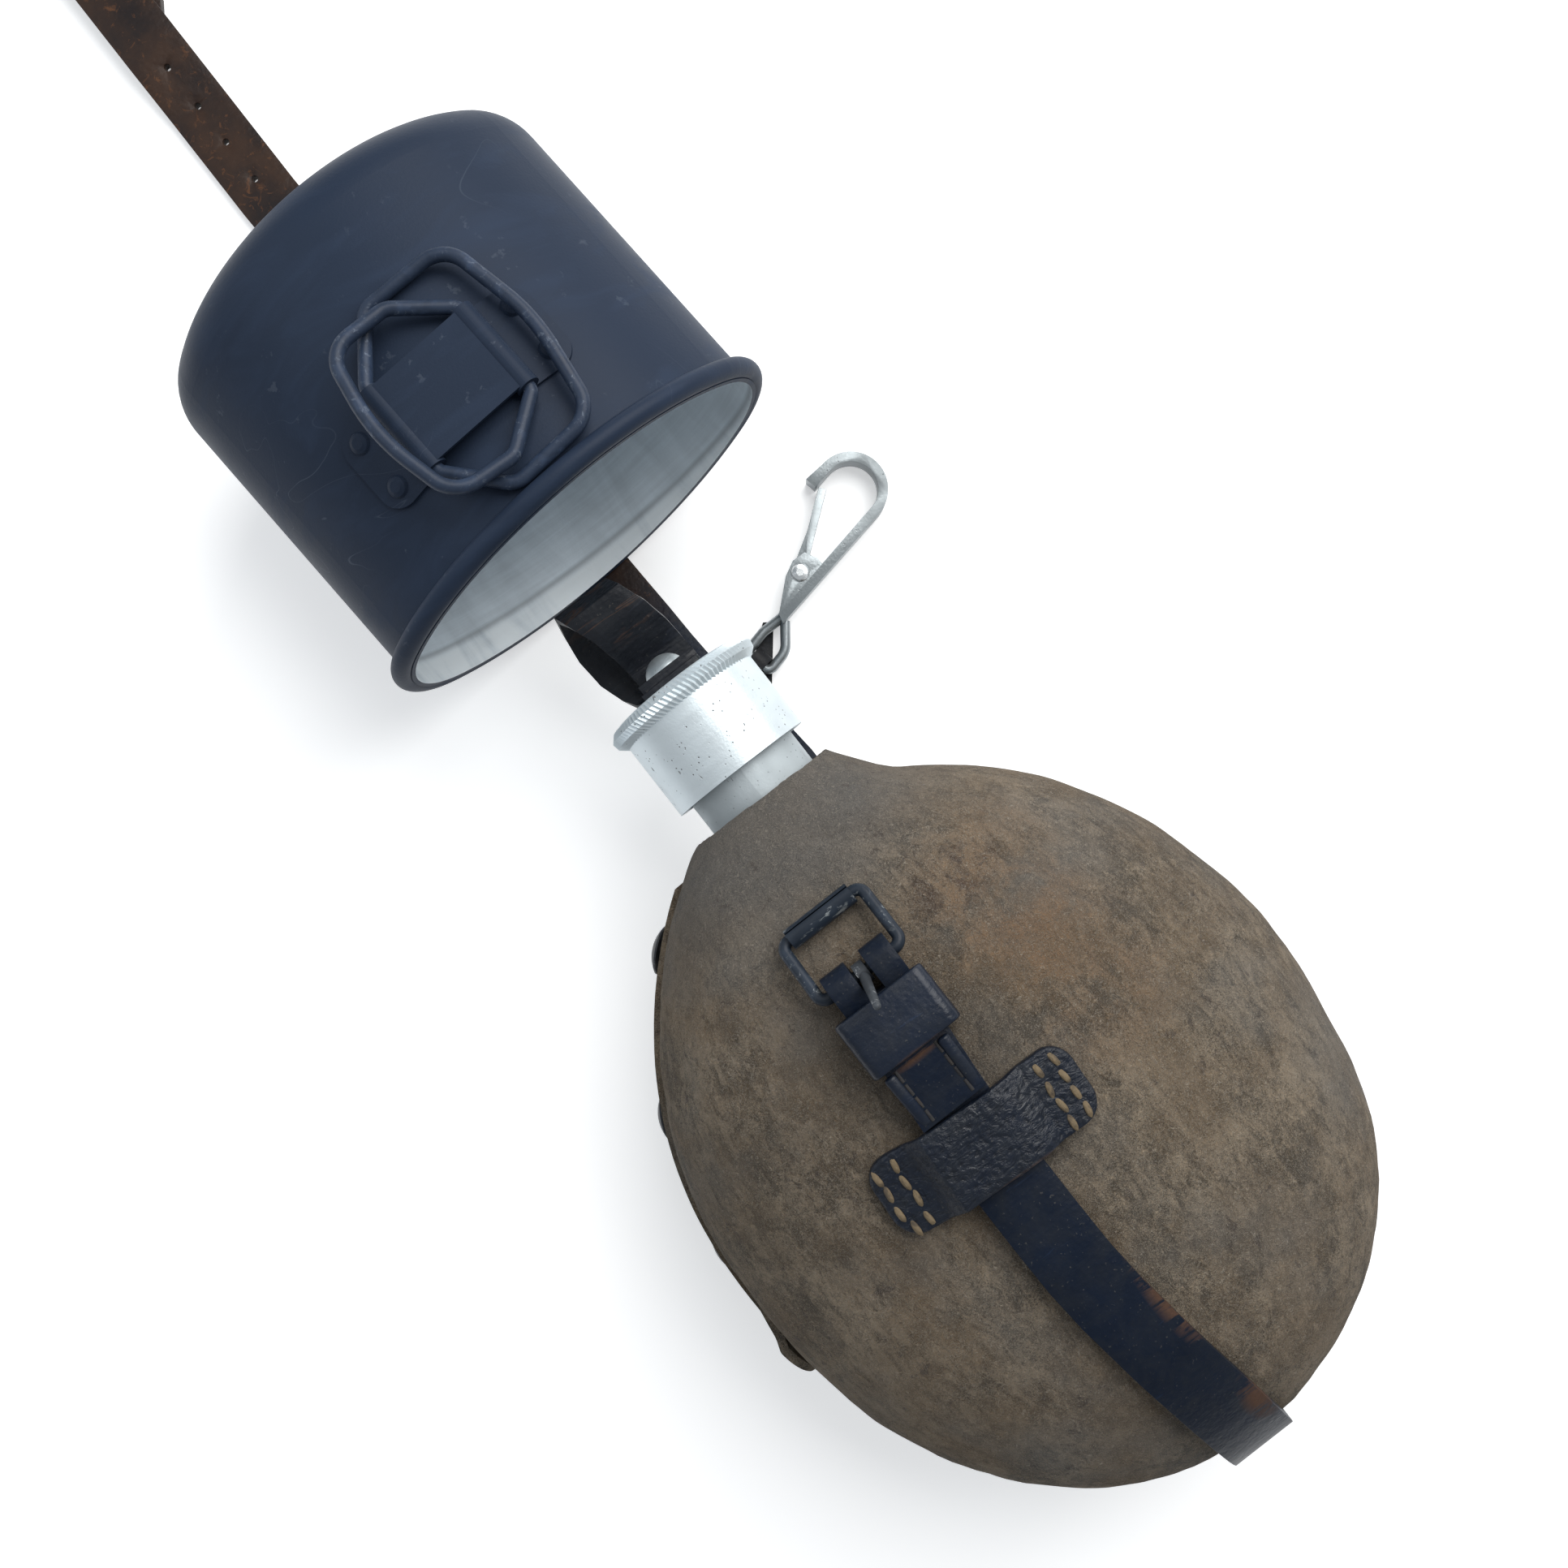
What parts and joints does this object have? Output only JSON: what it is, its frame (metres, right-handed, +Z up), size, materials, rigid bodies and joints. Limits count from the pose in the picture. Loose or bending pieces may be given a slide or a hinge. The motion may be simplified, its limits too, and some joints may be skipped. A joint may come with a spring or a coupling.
{
  "type": "military canteen",
  "caption": "Felt-covered oval field flask lying on its leather strap, with screw cap, snap hook and a separate oval drinking cup with folding wire handles.",
  "frame": {"origin": "on the ground, at the strap's flat underside, below the middle of the flask", "axes": "+Y from the flask's foot to its cap, +Z up, +X to the right seen from above"},
  "size_m": [0.1437, 0.4717, 0.0977],
  "materials": {
    "bare_aluminium": "dull drawn aluminium",
    "felt": "worn wool felt, dark taupe, mottled",
    "felt_flap": "worn wool felt, dark taupe",
    "dark_studs": "dark lacquer, dull",
    "stud_posts": "plain steel",
    "strap_leather": "blue-black leather, half gloss, scuffed brown at the edges",
    "keeper_leather": "black leather, brown wear at its lower edge",
    "loop_leather": "black leather, pebbled and creased",
    "tie_leather": "black-brown leather",
    "cap_aluminium": "matt aluminium, pitted and scratched",
    "seal": "old rubber",
    "cap_leather": "black-brown leather with cracked grain",
    "rivet_aluminium": "dull domed head",
    "washer_aluminium": "plain",
    "buckle_black": "black lacquer worn to metal at the corners",
    "roller_black": "black lacquer, rubbed",
    "prong_steel": "grey steel, light tip",
    "hook_aluminium": "dull aluminium",
    "gate_aluminium": "dull aluminium",
    "rivet_bright": "bright rivet head",
    "spring_steel": "spring strip",
    "cup_paint": "matt dark blue-grey paint, scratched, bare silver inside",
    "bracket_paint": "matt dark blue-grey paint, worn at the edges",
    "cup_rivet_metal": "painted heads",
    "handle_wire": "painted wire, worn",
    "handle_wire_inner": "painted wire, worn"
  },
  "bodies": {
    "flask_body": {"flask": "bare_aluminium", "felt_cover": "felt", "side_flap": "felt_flap", "snap_caps": "dark_studs", "snap_studs": "stud_posts", "carrying_strap": "strap_leather", "strap_keeper": "keeper_leather", "cross_loop": "loop_leather", "hook_tie": "tie_leather", "cup": "cup_paint", "cup_bracket": "bracket_paint", "cup_rivets": "cup_rivet_metal"},
    "loop_body": {"cap_loop": "cap_leather", "cap_rivet": "rivet_aluminium", "cap_washer": "washer_aluminium"},
    "cap_body": {"cap": "cap_aluminium", "cap_gasket": "seal"},
    "outer_handle_body": {"outer_handle": "handle_wire"},
    "inner_handle_body": {"inner_handle": "handle_wire_inner"},
    "hook_frame": {"hook_body": "hook_aluminium", "hook_rivet": "rivet_bright", "hook_spring": "spring_steel"},
    "gate_body": {"hook_gate": "gate_aluminium"},
    "buckle_body": {"buckle_frame": "buckle_black"},
    "roller_body": {"buckle_roller": "roller_black"},
    "prong_body": {"buckle_prong": "prong_steel"}
  },
  "joints": [
    {"name": "cap_lift", "type": "slide", "parent": "flask_body", "child": "loop_body", "axis": [0, 1, 0], "range_m": [0, 0.0241]},
    {"name": "cap_turn", "type": "hinge", "parent": "loop_body", "child": "cap_body", "pos_m": [0, 0.114, 0.04015], "axis": [0, 1, 0], "range_deg": [0, 2160]},
    {"name": "outer_handle_lift", "type": "hinge", "parent": "flask_body", "child": "outer_handle_body", "pos_m": [-0.01049, 0.19274, 0.08061], "axis": [0.061, -0.9966, 0.0559], "range_deg": [0, 90]},
    {"name": "inner_handle_lift", "type": "hinge", "parent": "flask_body", "child": "inner_handle_body", "pos_m": [0.01296, 0.19418, 0.08061], "axis": [-0.061, 0.9966, -0.0559], "range_deg": [0, 77.1]},
    {"name": "hook_lift", "type": "hinge", "parent": "flask_body", "child": "hook_frame", "pos_m": [0.01854, 0.1218, 0.00315], "axis": [0.1874, -0.9823, 0], "range_deg": [0, 70]},
    {"name": "hook_gate_open", "type": "hinge", "parent": "hook_frame", "child": "gate_body", "pos_m": [0.03992, 0.13249, 0.00315], "axis": [0, 0, -1], "range_deg": [0, 20], "stiffness_Nm_per_rad": 0.02, "springref_deg": -17.19},
    {"name": "buckle_lift", "type": "hinge", "parent": "flask_body", "child": "buckle_body", "pos_m": [-0.005, 0.05702, 0.08183], "axis": [1, 0, 0], "range_deg": [0, 100]},
    {"name": "roller_spin", "type": "hinge", "parent": "buckle_body", "child": "roller_body", "pos_m": [-0.005, 0.06986, 0.07577], "axis": [1, 0, 0], "continuous": true},
    {"name": "prong_swing", "type": "hinge", "parent": "flask_body", "child": "prong_body", "pos_m": [-0.005, 0.05702, 0.08183], "axis": [1, 0, 0], "range_deg": [-114, 12]}
  ],
  "couplings": [
    {"joint": "cap_lift", "follows": "cap_turn", "m_per_rad": 0.00063662},
    {"joint": "inner_handle_lift", "follows": "outer_handle_lift", "ratio": 0.85556}
  ]
}
